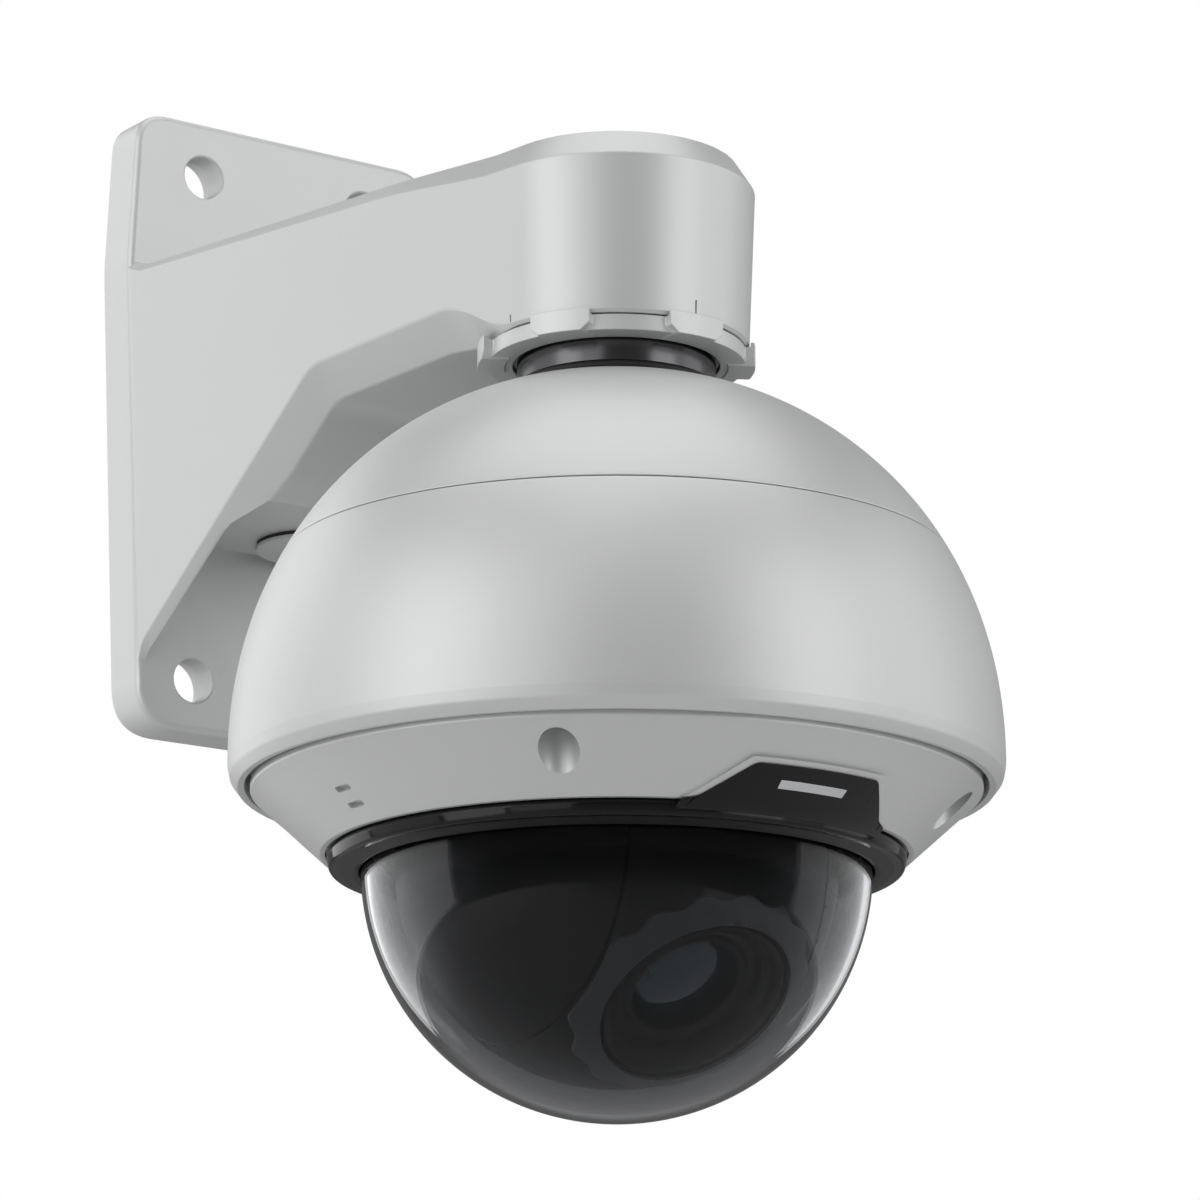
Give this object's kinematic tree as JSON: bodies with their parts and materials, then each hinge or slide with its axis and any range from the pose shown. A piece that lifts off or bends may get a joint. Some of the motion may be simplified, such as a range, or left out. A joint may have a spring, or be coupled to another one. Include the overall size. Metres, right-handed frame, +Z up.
{
  "type": "ptz camera",
  "caption": "Wall-mounted outdoor pan-tilt-zoom dome camera: cast arm, locking neck ring, domed housing with smoked bubble, and a geared pan and tilt yoke carrying a zoom camera.",
  "frame": {"origin": "centre of the wall bolt pattern, on the wall plane", "axes": "+Z up, -Y straight out from the wall towards the front of the camera, +X to the camera's left as seen from behind it"},
  "size_m": [0.232, 0.326, 0.3586],
  "materials": {
    "grey_paint": "satin light grey powder coat",
    "black_gloss": "gloss moulded",
    "black_matte": "fine matte moulding",
    "rubber": "moulded rubber",
    "smoked_clear": "clear smoked acrylic",
    "lens_glass": "coated optical glass",
    "polished_steel": "polished",
    "zinc_steel": "zinc plated",
    "aluminium": "satin",
    "board_green": "solder mask over fibreglass",
    "brass": "machined",
    "natural_nylon": "moulded acetal",
    "transformer_tape": "tape wrapped",
    "terminal_green": "moulded"
  },
  "bodies": {
    "housing": {"wall_arm": "grey_paint", "wall_gasket": "rubber", "conduit_plug": "grey_paint", "plug_seal": "rubber", "neck_tube": "polished_steel", "neck_seal": "rubber", "neck_nut": "zinc_steel", "top_cap": "grey_paint", "housing_gasket": "rubber", "main_housing": "grey_paint", "frame_screws": "zinc_steel", "trim_gasket": "rubber", "trim_ring": "grey_paint", "trim_screws": "zinc_steel", "badge_panel": "black_gloss", "bezel_ring": "black_gloss", "bubble": "smoked_clear", "bubble_gasket": "rubber", "liner_ring": "black_matte", "chassis_plate": "aluminium", "board_standoffs": "brass", "main_board": "board_green", "board_chips": "black_matte", "network_jack": "zinc_steel", "power_board": "board_green", "terminal_block": "terminal_green", "transformer": "transformer_tape", "fan_frame": "black_matte", "heater_block": "aluminium", "pan_motor": "zinc_steel", "pan_bearing_outer": "zinc_steel", "slip_ring_stator": "black_matte"},
    "lock_ring": {"lock_ring": "grey_paint"},
    "fan_rotor": {"fan_rotor": "black_matte"},
    "pan_pinion": {"pan_pinion": "brass"},
    "bearing_balls": {"pan_bearing_balls": "zinc_steel"},
    "pan": {"pan_bearing_inner": "zinc_steel", "slip_ring_rotor": "brass", "pan_gear": "natural_nylon", "pan_yoke": "aluminium", "left_cheek": "black_matte", "right_cheek": "black_matte", "tilt_bushes": "brass", "tilt_motor": "zinc_steel"},
    "tilt_pinion": {"tilt_pinion": "brass"},
    "tilt": {"tilt_gear": "natural_nylon", "tilt_cradle": "aluminium", "eyeball_front": "black_matte", "eyeball_rear": "black_matte", "lens_bezel": "black_matte", "lens_hood": "black_matte", "lens_barrel": "black_matte", "front_lens": "lens_glass", "camera_block": "black_matte", "sensor_board": "board_green"},
    "zoom_group": {"zoom_group": "lens_glass"},
    "focus_group": {"focus_group": "lens_glass"}
  },
  "joints": [
    {"name": "lock_turn", "type": "hinge", "parent": "housing", "child": "lock_ring", "pos_m": [0, -0.21, -0.0195], "axis": [0, 0, 1], "range_deg": [-45, 0]},
    {"name": "pan_turn", "type": "hinge", "parent": "housing", "child": "pan", "pos_m": [0, -0.21, -0.0885], "axis": [0, 0, 1], "continuous": true},
    {"name": "pan_pinion_turn", "type": "hinge", "parent": "housing", "child": "pan_pinion", "pos_m": [0, -0.154, -0.094], "axis": [0, 0, 1], "continuous": true},
    {"name": "bearing_turn", "type": "hinge", "parent": "housing", "child": "bearing_balls", "pos_m": [0, -0.21, -0.0885], "axis": [0, 0, 1], "continuous": true},
    {"name": "tilt_turn", "type": "hinge", "parent": "pan", "child": "tilt", "pos_m": [0, -0.21, -0.1765], "axis": [1, 0, 0], "range_deg": [-50, 40]},
    {"name": "tilt_pinion_turn", "type": "hinge", "parent": "pan", "child": "tilt_pinion", "pos_m": [0.05, -0.21, -0.1415], "axis": [1, 0, 0], "range_deg": [-170, 210]},
    {"name": "zoom_slide", "type": "slide", "parent": "tilt", "child": "zoom_group", "axis": [0, -0.6428, -0.766], "range_m": [-0.008, 0.008]},
    {"name": "focus_slide", "type": "slide", "parent": "tilt", "child": "focus_group", "axis": [0, -0.6428, -0.766], "range_m": [-0.0015, 0.004]},
    {"name": "fan_spin", "type": "hinge", "parent": "housing", "child": "fan_rotor", "pos_m": [0.062, -0.21, -0.088], "axis": [0, 0, 1], "continuous": true}
  ],
  "couplings": [
    {"joint": "pan_pinion_turn", "follows": "pan_turn", "ratio": -6},
    {"joint": "bearing_turn", "follows": "pan_turn", "ratio": 0.4683},
    {"joint": "tilt_pinion_turn", "follows": "tilt_turn", "ratio": -4}
  ]
}
